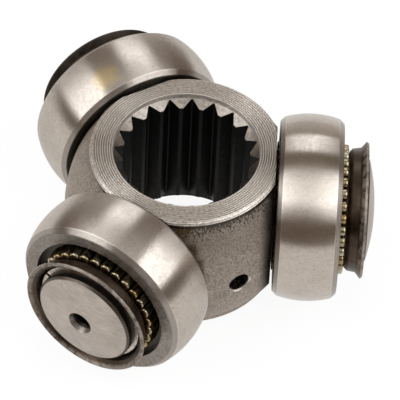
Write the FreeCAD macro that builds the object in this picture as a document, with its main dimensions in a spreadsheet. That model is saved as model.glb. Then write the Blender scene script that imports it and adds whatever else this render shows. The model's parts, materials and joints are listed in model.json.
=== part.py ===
import FreeCAD, Part

import math
import os
import re

import Sketcher
from FreeCAD import Placement, Rotation, Vector

# Tripod spider assembly of a plunging constant-velocity joint.
#
# A forged spider carries three trunnions, 120 degrees apart. On each trunnion a
# crowned roller runs on one full row of loose needles. A pressed cup closes the
# outer end of the needle row, stops the roller with its flared lip and is held
# by a split ring in the trunnion's groove. The half shaft enters the splined bore.
#
# Frame: millimetres, +Z along the splined bore, origin at the joint centre, where
# the three trunnion axes meet the bore axis. The first trunnion points along +X.

# ----------------------------------------------------------------------------
# Driving dimensions
# ----------------------------------------------------------------------------
SIZES = [
    # The spider's hub
    ("hub_height", 33.66, "hub, from rim face to rim face"),
    ("rim_radius", 20.0, "outer edge of the turned rim face"),
    ("rim_chamfer", 0.7, "bevel around the rim face"),
    ("ball_radius", 25.6, "forged, ball-shaped body between the rims"),
    ("flash_height", 0.2, "trimmed flash along the forging's parting line, above the ball"),
    ("flash_width", 1.0, "trimmed flash, along the hub's axis"),
    ("shoulder_distance", 19.2, "joint centre to the flat around each trunnion"),
    ("leg_count", 3, "trunnions around the hub"),
    # The splined bore
    ("tooth_count", 20, "spline teeth"),
    ("tooth_tip_radius", 13.7, "tips of the internal teeth"),
    ("tooth_root_radius", 15.5, "bottoms of the gaps"),
    ("gap_half_angle", 40.0, "slope of each flank from the gap's own middle line, degrees"),
    ("gap_root_width", 0.3, "flat at the bottom of each gap"),
    ("spline_phase", 16.1, "first gap, from the first trunnion, degrees"),
    ("mouth_clearance", 0.22, "bore's mouth outside the gap bottoms, at the rim face"),
    ("seat_clearance", 0.1, "bore's mouth outside the gap bottoms, at its bottom"),
    ("mouth_depth", 1.0, "straight part of the bore's mouth"),
    ("mouth_angle", 29.0, "slope of the cone that ends the teeth, degrees"),
    ("pin_hole_radius", 2.3, "radial hole through the hub wall"),
    ("pin_hole_chamfer", 0.3, "edge break of the radial hole"),
    ("pin_hole_angle", -60.0, "radial hole, from the first trunnion, degrees"),
    # The trunnions
    ("race_radius", 11.45, "ground track of the needles"),
    ("undercut_depth", 0.3, "grinding relief at the trunnion's root"),
    ("undercut_width", 1.2, "grinding relief, along the trunnion"),
    ("land_drop", 0.1, "end land beyond the ring groove, below the track"),
    ("tip_land", 3.95, "trunnion beyond its ring groove, to the top of its dome"),
    ("tip_chamfer", 0.5, "edge break of the trunnion end"),
    ("drill_mouth_radius", 2.8, "centre drilling, where its cone meets the dome"),
    ("drill_radius", 1.8, "centre drilling, its pilot"),
    ("drill_depth", 6.0, "centre drilling, to the end of its pilot"),
    ("drill_cone_angle", 60.0, "centre drilling, its cone, degrees"),
    ("drill_point_angle", 118.0, "centre drilling, the drill's point, degrees"),
    # The needles
    ("needle_count", 31, "needles in each full row"),
    ("needle_diameter", 2.5, "needles"),
    ("needle_length", 15.4, "needles"),
    ("needle_clearance", 0.05, "needles to either track"),
    ("needle_end_play", 0.2, "needle ends to the shoulder and to the cup"),
    # The rollers
    ("roller_radius", 20.25, "ball that the crowned running surface is part of"),
    ("roller_width", 13.8, "rollers, face to face"),
    ("bevel_width", 1.1, "bevels between crown and faces, along the trunnion"),
    ("bevel_height", 1.0, "bevels between crown and faces, across the trunnion"),
    ("track_chamfer", 0.45, "edge break of the roller's bore, hub side"),
    ("recess_radius", 15.65, "recess in the outer face, which takes the cup's lip"),
    ("recess_depth", 1.8, "recess in the outer face"),
    ("roller_stand_off", 0.6, "rollers at rest, from the shoulder"),
    # The retainer cups
    ("cup_thickness", 0.7, "pressed steel of the cups"),
    ("cup_bore_clearance", 0.25, "cup's hole around the trunnion"),
    ("cup_wall_inset", 0.85, "cup's wall inside the roller's track, at its floor"),
    ("cup_corner", 0.7, "bevelled bend between floor and wall"),
    ("cup_draft", 9.0, "outward lean of the wall, degrees"),
    ("cup_wall_height", 2.55, "floor to the start of the lip"),
    ("lip_angle", 51.0, "slope of the flared lip from the trunnion's axis, degrees"),
    ("lip_reach", 0.8, "lip outside the roller's track"),
    # The snap rings
    ("ring_play", 0.2, "ring to the cup's floor"),
    ("ring_thickness", 1.1, "rings, along the trunnion"),
    ("ring_width", 1.45, "rings, across the trunnion"),
    ("ring_gap", 4.0, "opening between the ring's ends, degrees"),
    ("ring_turn", -25.0, "where the ring's opening lies, degrees"),
    ("groove_depth", 0.75, "ring groove, below the track"),
    ("groove_clearance", 0.05, "ring in its groove, on each side"),
]

doc = FreeCAD.newDocument("TripodSpider")
sheet = doc.addObject("Spreadsheet::Sheet", "Sizes")
for row, (alias, size, meaning) in enumerate(SIZES, start=1):
    sheet.set(f"A{row}", meaning)
    sheet.set(f"B{row}", str(size))
    sheet.setAlias(f"B{row}", alias)
doc.recompute()


# ----------------------------------------------------------------------------
# Helpers
# ----------------------------------------------------------------------------
def linked(formula):
    """The formula with every name of a size pointed at the sheet."""
    return re.sub(r"[a-z]+(?:_[a-z]+)+", r"Sizes.\g<0>", formula)


def value(formula):
    """What a formula of sizes comes to now."""
    return float(sheet.evalExpression(linked(formula)))


def origin_part(body, role):
    """The body's own origin plane or axis with this role."""
    return next(part for part in body.Origin.OriginFeatures if part.Role == role)


def new_body(label, leg=None):
    """An empty body; one that belongs to a leg is turned to that trunnion."""
    body = doc.addObject("PartDesign::Body", "Body_" + label)
    body.Label = label
    body.Placement = Placement(Vector(), Rotation(Vector(0, 0, 1), 0))
    if leg is not None:
        body.setExpression("Placement.Rotation.Angle", linked(f"360 / leg_count * {leg}"))
    return body


def attach(body, sketch, plane, turn_axis=None, turn=None):
    """Lay a sketch on an origin plane, turned about one of the plane's own axes."""
    sketch.AttachmentSupport = [(origin_part(body, plane), "")]
    sketch.MapMode = "FlatFace"
    if turn is not None:
        sketch.AttachmentOffset = Placement(Vector(), Rotation(turn_axis, value(turn)))
        sketch.setExpression("AttachmentOffset.Rotation.Angle", linked(turn))


def pin_point(sketch, edge, end, across, up):
    """Hold one end of an edge at its two formulas, measured from the sketch's origin."""
    for kind, axis, formula in (("DistanceX", -2, across), ("DistanceY", -1, up)):
        if formula == "0":
            sketch.addConstraint(Sketcher.Constraint("PointOnObject", edge, end, axis))
        else:
            rule = Sketcher.Constraint(kind, -1, 1, edge, end, value(formula))
            number = sketch.addConstraint(rule)
            sketch.setExpression(f"Constraints[{number}]", linked(formula))


def arc_between(start, end, radius, bulge_left):
    """Arc from start to end, at most a half turn, with its centre right or left of the way."""
    middle = (start + end) * 0.5
    way = end - start
    side = Vector(-way.y, way.x, 0).normalize()
    to_centre = math.sqrt(max(radius ** 2 - (way.Length / 2) ** 2, 0))
    centre = middle - side * to_centre if bulge_left else middle + side * to_centre
    first = math.atan2(start.y - centre.y, start.x - centre.x)
    last = math.atan2(end.y - centre.y, end.x - centre.x)
    circle = Part.Circle(centre, Vector(0, 0, 1), radius)
    if bulge_left:
        return Part.ArcOfCircle(circle, last, first)
    return Part.ArcOfCircle(circle, first, last)


def outline(body, name, plane, corners, arcs=(), turn_axis=None, turn=None):
    """A closed outline through corners, which are pairs of formulas.

    arcs maps the number of a corner to (radius formula, bulge_left): the edge that
    leaves that corner is then an arc, which swells to the left or right of its way.
    """
    sketch = body.newObject("Sketcher::SketchObject", name)
    attach(body, sketch, plane, turn_axis, turn)
    arcs = dict(arcs)
    points = [Vector(value(across), value(up), 0) for across, up in corners]
    count = len(points)
    starts = []
    ends = []
    for number, start in enumerate(points):
        end = points[(number + 1) % count]
        if number in arcs:
            radius, bulge_left = arcs[number]
            sketch.addGeometry(arc_between(start, end, value(radius), bulge_left))
            starts.append(2 if bulge_left else 1)
            ends.append(1 if bulge_left else 2)
        else:
            sketch.addGeometry(Part.LineSegment(start, end))
            starts.append(1)
            ends.append(2)
    for number in range(count):
        following = (number + 1) % count
        join = Sketcher.Constraint("Coincident", number, ends[number], following, starts[following])
        sketch.addConstraint(join)
    for number, (across, up) in enumerate(corners):
        pin_point(sketch, number, starts[number], across, up)
    for number, (radius, _) in arcs.items():
        rule = sketch.addConstraint(Sketcher.Constraint("Radius", number, value(radius)))
        sketch.setExpression(f"Constraints[{rule}]", linked(radius))
    return sketch


def turned(body, kind, name, sketch, axis="H_Axis"):
    """A full Revolution or Groove of a sketch about one of its axes."""
    feature = body.newObject("PartDesign::" + kind, name)
    feature.Profile = sketch
    feature.ReferenceAxis = (sketch, [axis])
    feature.Angle = 360
    sketch.Visibility = False
    return feature


def cut_through(body, name, sketch):
    """A Pocket right through the body, both ways from the sketch."""
    feature = body.newObject("PartDesign::Pocket", name)
    feature.Profile = sketch
    feature.Type = "ThroughAll"
    feature.Midplane = True
    return feature


def around(body, name, features, role, count):
    """Copies of features evenly around one of the body's origin axes."""
    pattern = body.newObject("PartDesign::PolarPattern", name)
    pattern.Originals = features
    pattern.Axis = (origin_part(body, role), [""])
    pattern.Angle = 360
    pattern.setExpression("Occurrences", linked(count))
    body.Tip = pattern
    return pattern


# ----------------------------------------------------------------------------
# Places along a trunnion, worked out from the sizes
# ----------------------------------------------------------------------------
PITCH = "(race_radius + needle_clearance + needle_diameter / 2)"
ROLLER_TRACK = "(race_radius + needle_diameter + 2 * needle_clearance)"
NEEDLE_START = "(shoulder_distance + needle_end_play)"
CUP_FLOOR = "(shoulder_distance + needle_length + 2 * needle_end_play)"
RING_START = "(shoulder_distance + needle_length + 2 * needle_end_play + cup_thickness + ring_play)"
GROOVE_START = f"({RING_START} - groove_clearance)"
GROOVE_END = f"({RING_START} + ring_thickness + groove_clearance)"
GROOVE_FLOOR = "(race_radius - groove_depth)"
DOME_RADIUS = f"({GROOVE_END} + tip_land)"
ROLLER_START = "(shoulder_distance + roller_stand_off)"
ROLLER_END = f"({ROLLER_START} + roller_width)"


# ----------------------------------------------------------------------------
# Spider: one forging with three ground trunnions and a broached bore
# ----------------------------------------------------------------------------
def build_spider():
    body = new_body("spider")
    collar = "(rim_radius + rim_chamfer)"
    rim_height = "(hub_height / 2)"
    bevel_height = f"({rim_height} - rim_chamfer)"
    ball_height = f"sqrt(ball_radius ^ 2 - {collar} ^ 2)"

    # Ball-shaped body between two turned, bevelled rims
    section = outline(
        body, "HubSection", "XZ_Plane",
        [("0", f"-{rim_height}"), ("rim_radius", f"-{rim_height}"), (collar, f"-{bevel_height}"),
         (collar, f"-{ball_height}"), (collar, ball_height), (collar, bevel_height),
         ("rim_radius", rim_height), ("0", rim_height)],
        arcs={3: ("ball_radius", False)})
    turned(body, "Revolution", "Forging", section, "V_Axis")

    # What is left of the flash where the two dies met
    flash = outline(
        body, "FlashSection", "XZ_Plane",
        [("ball_radius - rim_chamfer", "-flash_width / 2"),
         ("ball_radius + flash_height", "-flash_width / 2"),
         ("ball_radius + flash_height", "flash_width / 2"),
         ("ball_radius - rim_chamfer", "flash_width / 2")])
    turned(body, "Revolution", "PartingLine", flash, "V_Axis")

    # Flat around the trunnion
    shoulder = outline(
        body, "ShoulderSection", "XY_Plane",
        [("shoulder_distance", "0"), ("ball_radius + 2 * flash_height", "0"),
         ("ball_radius + 2 * flash_height", "ball_radius"), ("shoulder_distance", "ball_radius")])
    shoulder_cut = turned(body, "Groove", "Shoulder", shoulder)
    around(body, "Shoulders", [shoulder_cut], "Z_Axis", "leg_count")

    # Trunnion: relief at the root, needle track, ring groove, land and an end domed about the
    # joint centre, with the centre drilling left from grinding: cone, pilot and drill point
    undercut = "(race_radius - undercut_depth)"
    undercut_end = "(shoulder_distance + undercut_width)"
    land = "(race_radius - land_drop)"
    chamfer_top = f"({land} - tip_chamfer)"
    dome_edge = f"sqrt({DOME_RADIUS} ^ 2 - {chamfer_top} ^ 2)"
    mouth_edge = f"sqrt({DOME_RADIUS} ^ 2 - drill_mouth_radius ^ 2)"
    cone_length = "((drill_mouth_radius - drill_radius) / tan(drill_cone_angle / 2))"
    pilot_end = f"({DOME_RADIUS} - drill_depth)"
    trunnion_section = outline(
        body, "TrunnionSection", "XY_Plane",
        [("tooth_root_radius + undercut_width", "0"),
         ("tooth_root_radius + undercut_width", undercut),
         (undercut_end, undercut),
         (f"{undercut_end} + undercut_depth", "race_radius"),
         (GROOVE_START, "race_radius"), (GROOVE_START, GROOVE_FLOOR),
         (GROOVE_END, GROOVE_FLOOR), (GROOVE_END, land),
         (f"{dome_edge} - tip_chamfer", land), (dome_edge, chamfer_top),
         (mouth_edge, "drill_mouth_radius"),
         (f"{mouth_edge} - {cone_length}", "drill_radius"), (pilot_end, "drill_radius"),
         (f"{pilot_end} - drill_radius / tan(drill_point_angle / 2)", "0")],
        arcs={9: (DOME_RADIUS, True)})
    trunnion = turned(body, "Revolution", "Trunnion", trunnion_section)
    around(body, "Trunnions", [trunnion], "Z_Axis", "leg_count")

    # Bore to the tips of the teeth, with a stepped and coned mouth at each rim
    cone_depth = "((tooth_root_radius + seat_clearance - tooth_tip_radius) * tan(mouth_angle))"
    for side, name in (("", "Upper"), ("-", "Lower")):
        mouth = outline(
            body, name + "MouthSection", "XZ_Plane",
            [("0", f"{side}({rim_height} + mouth_depth)"),
             ("tooth_root_radius + mouth_clearance", f"{side}({rim_height} + mouth_depth)"),
             ("tooth_root_radius + mouth_clearance", f"{side}{rim_height}"),
             ("tooth_root_radius + seat_clearance", f"{side}({rim_height} - mouth_depth)"),
             ("tooth_tip_radius", f"{side}({rim_height} - mouth_depth - {cone_depth})"),
             ("0", f"{side}({rim_height} - mouth_depth - {cone_depth})")])
        turned(body, "Groove", name + "Mouth", mouth, "V_Axis")
    bore = body.newObject("Sketcher::SketchObject", "BoreCircle")
    attach(body, bore, "XY_Plane")
    bore.addGeometry(Part.Circle(Vector(), Vector(0, 0, 1), value("tooth_tip_radius")))
    bore.addConstraint(Sketcher.Constraint("Coincident", 0, 3, -1, 1))
    size = bore.addConstraint(Sketcher.Constraint("Radius", 0, value("tooth_tip_radius")))
    bore.setExpression(f"Constraints[{size}]", linked("tooth_tip_radius"))
    cut_through(body, "Bore", bore)

    # Internal spline: one V-shaped gap, broached right through and repeated
    inside = "(tooth_tip_radius - gap_root_width)"
    half_gap = f"((tooth_root_radius - {inside}) * tan(gap_half_angle) + gap_root_width / 2)"
    gap = outline(
        body, "GapSection", "XY_Plane",
        [(inside, f"-{half_gap}"), ("tooth_root_radius", "-gap_root_width / 2"),
         ("tooth_root_radius", "gap_root_width / 2"), (inside, half_gap)],
        turn_axis=Vector(0, 0, 1), turn="spline_phase")
    gap_cut = cut_through(body, "SplineGap", gap)
    around(body, "Spline", [gap_cut], "Z_Axis", "tooth_count")

    # Radial hole through the wall between two trunnions
    hole = outline(
        body, "PinHoleSection", "XY_Plane",
        [("tooth_tip_radius - pin_hole_radius", "0"),
         ("tooth_tip_radius - pin_hole_radius", "pin_hole_radius"),
         ("sqrt(ball_radius ^ 2 - pin_hole_radius ^ 2) - pin_hole_chamfer", "pin_hole_radius"),
         ("ball_radius + 2 * flash_height", "pin_hole_radius + pin_hole_chamfer + 2 * flash_height"),
         ("ball_radius + 2 * flash_height", "0")],
        turn_axis=Vector(0, 0, 1), turn="pin_hole_angle")
    body.Tip = turned(body, "Groove", "PinHole", hole)
    return body


# ----------------------------------------------------------------------------
# What each trunnion carries
# ----------------------------------------------------------------------------
def build_needles(label, leg):
    """A full row of loose needles, each one a solid of its own."""
    body = new_body(label, leg)
    body.AllowCompound = True
    end = body.newObject("Sketcher::SketchObject", "NeedleEnd")
    attach(body, end, "YZ_Plane")
    end.AttachmentOffset = Placement(Vector(0, 0, value(NEEDLE_START)), Rotation())
    end.setExpression("AttachmentOffset.Base.z", linked(NEEDLE_START))
    centre = Vector(value(PITCH), 0, 0)
    end.addGeometry(Part.Circle(centre, Vector(0, 0, 1), value("needle_diameter / 2")))
    pin_point(end, 0, 3, PITCH, "0")
    size = end.addConstraint(Sketcher.Constraint("Diameter", 0, value("needle_diameter")))
    end.setExpression(f"Constraints[{size}]", linked("needle_diameter"))
    needle = body.newObject("PartDesign::Pad", "Needle")
    needle.Profile = end
    needle.setExpression("Length", linked("needle_length"))
    around(body, "NeedleRow", [needle], "X_Axis", "needle_count")
    return body


def build_roller(label, leg):
    """Part-spherical, bevelled roller with its needle track and outer recess."""
    body = new_body(label, leg)
    half_crown = "(roller_width / 2 - bevel_width)"
    crown_edge = f"sqrt(roller_radius ^ 2 - {half_crown} ^ 2)"
    face_edge = f"({crown_edge} - bevel_height)"
    section = outline(
        body, "RollerSection", "XY_Plane",
        [(f"{ROLLER_START} + track_chamfer", ROLLER_TRACK),
         (f"{ROLLER_END} - recess_depth", ROLLER_TRACK),
         (f"{ROLLER_END} - recess_depth", "recess_radius"),
         (ROLLER_END, "recess_radius"), (ROLLER_END, face_edge),
         (f"{ROLLER_END} - bevel_width", crown_edge),
         (f"{ROLLER_START} + bevel_width", crown_edge),
         (ROLLER_START, face_edge), (ROLLER_START, f"{ROLLER_TRACK} + track_chamfer")],
        arcs={5: ("roller_radius", False)})
    turned(body, "Revolution", "Roller", section)
    return body


def build_cup(label, leg):
    """Pressed cup: floor over the needle ends, leaning wall and flared lip."""
    body = new_body(label, leg)
    hole = "(race_radius + cup_bore_clearance)"
    wall = f"({ROLLER_TRACK} - cup_wall_inset)"
    bend_end = f"({CUP_FLOOR} + cup_corner)"
    lip_start = f"({CUP_FLOOR} + cup_wall_height)"
    wall_top = f"({wall} + (cup_wall_height - cup_corner) * tan(cup_draft))"
    lip_edge = f"({ROLLER_TRACK} + lip_reach)"
    lip_end = f"({lip_start} + ({lip_edge} - {wall_top}) / tan(lip_angle))"
    # The inner side lies one sheet thickness in from the outer side
    half_turn = "((lip_angle - cup_draft) / 2)"
    middle = "((lip_angle + cup_draft) / 2)"
    inner_start = f"({lip_start} + cup_thickness * sin({middle}) / cos({half_turn}))"
    inner_top = f"({wall_top} - cup_thickness * cos({middle}) / cos({half_turn}))"
    inner_foot = f"({inner_top} - ({inner_start} - {CUP_FLOOR} - cup_thickness) * tan(cup_draft))"
    section = outline(
        body, "CupSection", "XY_Plane",
        [(CUP_FLOOR, hole), (CUP_FLOOR, f"{wall} - cup_corner"), (bend_end, wall),
         (lip_start, wall_top), (lip_end, lip_edge),
         (f"{lip_end} + cup_thickness * sin(lip_angle)",
          f"{lip_edge} - cup_thickness * cos(lip_angle)"),
         (inner_start, inner_top), (f"{CUP_FLOOR} + cup_thickness", inner_foot),
         (f"{CUP_FLOOR} + cup_thickness", hole)])
    turned(body, "Revolution", "Cup", section)
    return body


def build_ring(label, leg):
    """Flat split ring, sprung into the trunnion's groove."""
    body = new_body(label, leg)
    inner = f"({GROOVE_FLOOR} + groove_clearance)"
    section = outline(
        body, "RingSection", "XY_Plane",
        [(RING_START, inner), (f"{RING_START} + ring_thickness", inner),
         (f"{RING_START} + ring_thickness", f"{inner} + ring_width"),
         (RING_START, f"{inner} + ring_width")],
        turn_axis=Vector(1, 0, 0), turn="ring_turn")
    ring = turned(body, "Revolution", "Ring", section)
    ring.Midplane = True
    ring.setExpression("Angle", linked("360 - ring_gap"))
    return body


bodies = [build_spider()]
for leg in range(round(value("leg_count"))):
    bodies.append(build_needles(f"needles_{leg + 1}", leg))
    bodies.append(build_roller(f"roller_{leg + 1}", leg))
    bodies.append(build_cup(f"retainer_cup_{leg + 1}", leg))
    bodies.append(build_ring(f"snap_ring_{leg + 1}", leg))
doc.recompute()

# ----------------------------------------------------------------------------
# Checks and export
# ----------------------------------------------------------------------------
for item in doc.Objects:
    if "Invalid" in item.State or "Error" in item.State:
        raise RuntimeError(f"{item.Label} failed: {item.State}")
for body in bodies:
    if body.Shape.isNull() or not body.Shape.isValid():
        raise RuntimeError(f"{body.Label} has no valid shape")

os.makedirs("parts", exist_ok=True)
for body in bodies:
    body.Shape.exportStep(f"parts/{body.Label}.step")
    box = body.Shape.BoundBox
    print(f"{body.Label}: {len(body.Shape.Solids)} solid(s), {body.Shape.Volume:.1f} mm3, "
          f"x {box.XMin:.2f}..{box.XMax:.2f}, y {box.YMin:.2f}..{box.YMax:.2f}, "
          f"z {box.ZMin:.2f}..{box.ZMax:.2f}")
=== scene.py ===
# %% [markdown]
# # Tripod spider of a constant-velocity joint
#
# A tripod joint drives a car's half shaft while the shaft swings and plunges. Its inner
# part is a forged spider with three trunnions. On each, a crowned roller runs on a full
# row of loose needles, a pressed cup closes the row, and a split ring holds the cup.
#
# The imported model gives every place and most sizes. This script dresses it with smooth,
# softly edged copies of the steel pieces, each with its own finish. The first step is to
# load the model as a fixed frame and to remember its box.

import json
import math
from collections import Counter

import bmesh
import bpy
from mathutils import Matrix, Vector


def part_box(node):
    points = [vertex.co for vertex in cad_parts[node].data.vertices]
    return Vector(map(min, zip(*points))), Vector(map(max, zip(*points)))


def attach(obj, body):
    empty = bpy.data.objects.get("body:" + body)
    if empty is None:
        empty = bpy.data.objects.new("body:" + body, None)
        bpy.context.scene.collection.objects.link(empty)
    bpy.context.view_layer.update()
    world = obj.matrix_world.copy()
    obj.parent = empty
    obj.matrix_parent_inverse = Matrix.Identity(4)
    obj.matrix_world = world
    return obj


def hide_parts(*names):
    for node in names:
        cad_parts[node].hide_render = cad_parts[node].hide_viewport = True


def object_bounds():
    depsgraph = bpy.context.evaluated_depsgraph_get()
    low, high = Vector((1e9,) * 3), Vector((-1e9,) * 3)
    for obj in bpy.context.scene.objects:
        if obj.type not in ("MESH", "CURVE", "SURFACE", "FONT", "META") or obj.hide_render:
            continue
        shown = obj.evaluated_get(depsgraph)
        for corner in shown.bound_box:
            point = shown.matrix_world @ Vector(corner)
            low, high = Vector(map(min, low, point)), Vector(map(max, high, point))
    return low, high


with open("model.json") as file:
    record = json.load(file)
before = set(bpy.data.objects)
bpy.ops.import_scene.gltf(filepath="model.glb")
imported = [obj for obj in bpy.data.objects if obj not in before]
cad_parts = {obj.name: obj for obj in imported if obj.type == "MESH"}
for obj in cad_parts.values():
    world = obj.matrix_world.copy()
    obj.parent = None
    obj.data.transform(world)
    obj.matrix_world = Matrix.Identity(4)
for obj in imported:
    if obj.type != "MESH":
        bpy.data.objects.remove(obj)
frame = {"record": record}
cad_low, cad_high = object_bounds()
record = frame["record"]
MM = 0.001
print("box in mm:", [round(side / MM, 2) for side in cad_high - cad_low])

# %% [markdown]
# ## Legs
#
# The three legs are the same, turned about the bore. Each piece is built along the X axis,
# where the first trunnion points, and then turned to its own trunnion. The joints in the
# record say which way each trunnion points, so nothing is guessed.

# %% Where the legs point
LEGS = [1, 2, 3]
joint_axis = {joint["name"]: Vector(joint["axis"]) for joint in record["behaviour"]["joints"]}
leg_out = {leg: joint_axis[f"roller_{leg}_spin"] for leg in LEGS}
leg_turn = {leg: math.atan2(out.y, out.x) for leg, out in leg_out.items()}
print("legs in degrees:", {leg: round(math.degrees(turn), 1) for leg, turn in leg_turn.items()})

# %% [markdown]
# ## Sizes
#
# The boxes of the first leg's nodes tell where each piece starts and ends and how far it
# reaches from its axis. What a box can't tell, such as a bevel or the depth of a recess, is
# named once, in millimetres like on a workshop drawing.

# %% Places read from the frame
spider_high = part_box("spider")[1]
roller_low, roller_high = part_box("roller_1")
needle_low, needle_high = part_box("needles_1")
cup_low, cup_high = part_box("retainer_cup_1")
ring_low, ring_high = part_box("snap_ring_1")
pin_hole = next(mount for mount in record["mounts"] if mount["name"] == "pin_hole")
rim_height = spider_high.z
print("rim face at", round(rim_height / MM, 2), "mm")

# %% Sizes of the hub, in millimetres and degrees
RIM_RADIUS = 20.0 * MM
RIM_BEVEL = 0.7 * MM
BALL_RADIUS = 25.6 * MM
FLASH_HEIGHT = 0.2 * MM
FLASH_REACH = 0.65 * MM
NEEDLE_END_PLAY = 0.2 * MM
TOOTH_COUNT = 20
TOOTH_TIP = 13.7 * MM
TOOTH_ROOT = 15.5 * MM
GAP_SLOPE = math.radians(40)
GAP_FLAT = 0.3 * MM
SPLINE_PHASE = math.radians(16.1)
MOUTH_RADIUS = TOOTH_ROOT + 0.22 * MM
SEAT_RADIUS = TOOTH_ROOT + 0.1 * MM
MOUTH_DEPTH = 1.15 * MM
MOUTH_SLOPE = math.radians(31.5)
PIN_HOLE_BEVEL = 0.3 * MM
shoulder = needle_low.x - NEEDLE_END_PLAY
print("flat around each trunnion at", round(shoulder / MM, 2), "mm")

# %% [markdown]
# ## Tools for turned pieces
#
# Nearly everything here was made on a lathe or a press, so nearly everything is a section,
# a list of (along, radius) points, turned about an axis. Real edges are never perfectly
# sharp: `softened` swaps each corner for a tiny curve, which catches the light as a thin
# bright line. No curve takes more than LONGEST_SHARE of a side.

# %% Steps and circles
def evenly(first, last, steps):
    """The values from first to last in equal steps, with both ends."""
    return [first + (last - first) * step / steps for step in range(steps + 1)]


def circle_at(radius, offset):
    """How far a circle reaches along one axis at an offset along the other."""
    return math.sqrt(radius ** 2 - offset ** 2)


# %% Soften the corners of a section
SLIGHT_TURN = math.radians(14)
TURN_PER_STEP = math.radians(45)
LONGEST_SHARE = 0.36
HOLD = 1.3


def softened(corners, size, closed=True):
    """The section with each real corner swapped for a small curve that starts size away.

    One more point, just outside each end of the curve, keeps the shading of the flat beside
    it flat, so that only the curve catches the light.
    """
    points = []
    count = len(corners)
    for number, corner in enumerate(corners):
        here = Vector(corner)
        before = Vector(corners[number - 1]) - here
        after = Vector(corners[(number + 1) % count]) - here
        turn = before.angle(-after)
        if turn < SLIGHT_TURN or not closed and number in (0, count - 1):
            points.append(here)
            continue
        start = before * min(size / before.length, LONGEST_SHARE)
        end = after * min(size / after.length, LONGEST_SHARE)
        points.append(here + start * HOLD)
        for share in evenly(0, 1, 2 + round(turn / TURN_PER_STEP)):
            points.append(here + start * (1 - share) ** 2 + end * share ** 2)
        points.append(here + end * HOLD)
    return points


# %% Make a mesh from rows of points
SHARP = math.radians(32)
WELD_GAP = 1e-4 * MM


def mesh_from_rows(name, rows, wrap_rows=False, wrap_columns=True):
    """An object whose faces join each row of points to the next, welded and shaded smooth."""
    width = len(rows[0])
    faces = []
    for row in range(len(rows) if wrap_rows else len(rows) - 1):
        below = (row + 1) % len(rows)
        for column in range(width if wrap_columns else width - 1):
            beside = (column + 1) % width
            faces.append((row * width + column, row * width + beside,
                          below * width + beside, below * width + column))
    if not wrap_columns:
        faces.append([row * width for row in range(len(rows))])
        faces.append([row * width + width - 1 for row in range(len(rows))])
    mesh = bpy.data.meshes.new(name)
    mesh.from_pydata([tuple(point) for row in rows for point in row], [], faces)
    shape = bmesh.new()
    shape.from_mesh(mesh)
    bmesh.ops.remove_doubles(shape, verts=shape.verts, dist=WELD_GAP)
    bmesh.ops.recalc_face_normals(shape, faces=shape.faces)
    for face in shape.faces:
        face.smooth = True
    shape.to_mesh(mesh)
    shape.free()
    mesh.set_sharp_from_angle(angle=SHARP)
    made = bpy.data.objects.new(name, mesh)
    bpy.context.scene.collection.objects.link(made)
    return made


# %% Turn a section about the X axis
FULL_TURN = 2 * math.pi


def turned(name, section, closed=True, columns=144, start=0.0, sweep=FULL_TURN):
    """The section turned about X; an angle of 0 lies along +Y and a quarter turn along +Z."""
    whole = sweep >= FULL_TURN
    count = columns if whole else columns + 1
    angles = [start + sweep * number / columns for number in range(count)]
    rows = [[(along, radius * math.cos(angle), radius * math.sin(angle)) for angle in angles]
            for along, radius in section]
    return mesh_from_rows(name, rows, wrap_rows=closed, wrap_columns=whole)


def on_leg(piece, leg, body, *nodes):
    """Turn a piece's mesh to its trunnion; it rides on its body and stands for its nodes."""
    piece.data.transform(Matrix.Rotation(leg_turn[leg], 4, "Z"))
    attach(piece, body)
    if nodes:
        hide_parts(*nodes)
    return piece


# %% [markdown]
# ## Hub
#
# The hub is a ball-shaped forging between two turned rim faces, with a broached spline
# through it. Boolean cuts could carve the teeth, but they leave ragged shading. Here the
# whole hub is one closed grid: each column stands at one angle, and the rows run over the
# rim face, down the outside, in at the bottom and up the teeth. Columns stand on the
# corners of the teeth, so that every tooth edge is exact.

# %% Columns on the corners of the teeth
FLANK_STEPS = 4
LAND_STEPS = 4


def flank_reach(slope):
    """How far in from the gap's bottom its straight flank meets the circle of the tips."""
    half = 2 * TOOTH_ROOT - GAP_FLAT * slope
    square = 1 + slope ** 2
    rest = TOOTH_ROOT ** 2 + GAP_FLAT ** 2 / 4 - TOOTH_TIP ** 2
    return (half - math.sqrt(half ** 2 - 4 * square * rest)) / (2 * square)


def spline_columns():
    """(angle, radius) of the points around the toothed bore, by rising angle."""
    slope = math.tan(GAP_SLOPE)
    side = []
    for inward in evenly(0, flank_reach(slope), FLANK_STEPS):
        across = GAP_FLAT / 2 + inward * slope
        out = TOOTH_ROOT - inward
        side.append((math.atan2(across, out), math.hypot(across, out)))
    pitch = FULL_TURN / TOOTH_COUNT
    land = pitch - 2 * side[-1][0]
    columns = []
    for gap in range(TOOTH_COUNT):
        middle = SPLINE_PHASE + gap * pitch
        columns += [(middle - angle, radius) for angle, radius in reversed(side)]
        columns += [(middle + angle, radius) for angle, radius in side]
        for step in range(1, LAND_STEPS):
            columns.append((middle + side[-1][0] + land * step / LAND_STEPS, TOOTH_TIP))
    return columns


columns = spline_columns()
print(len(columns), "columns around the hub")

# %% Rows down the outside of the hub
BALL_STEPS = 22
FACE_STEPS = 6
FLASH_STEPS = 5
RIM_SOFTNESS = 0.15 * MM


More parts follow.
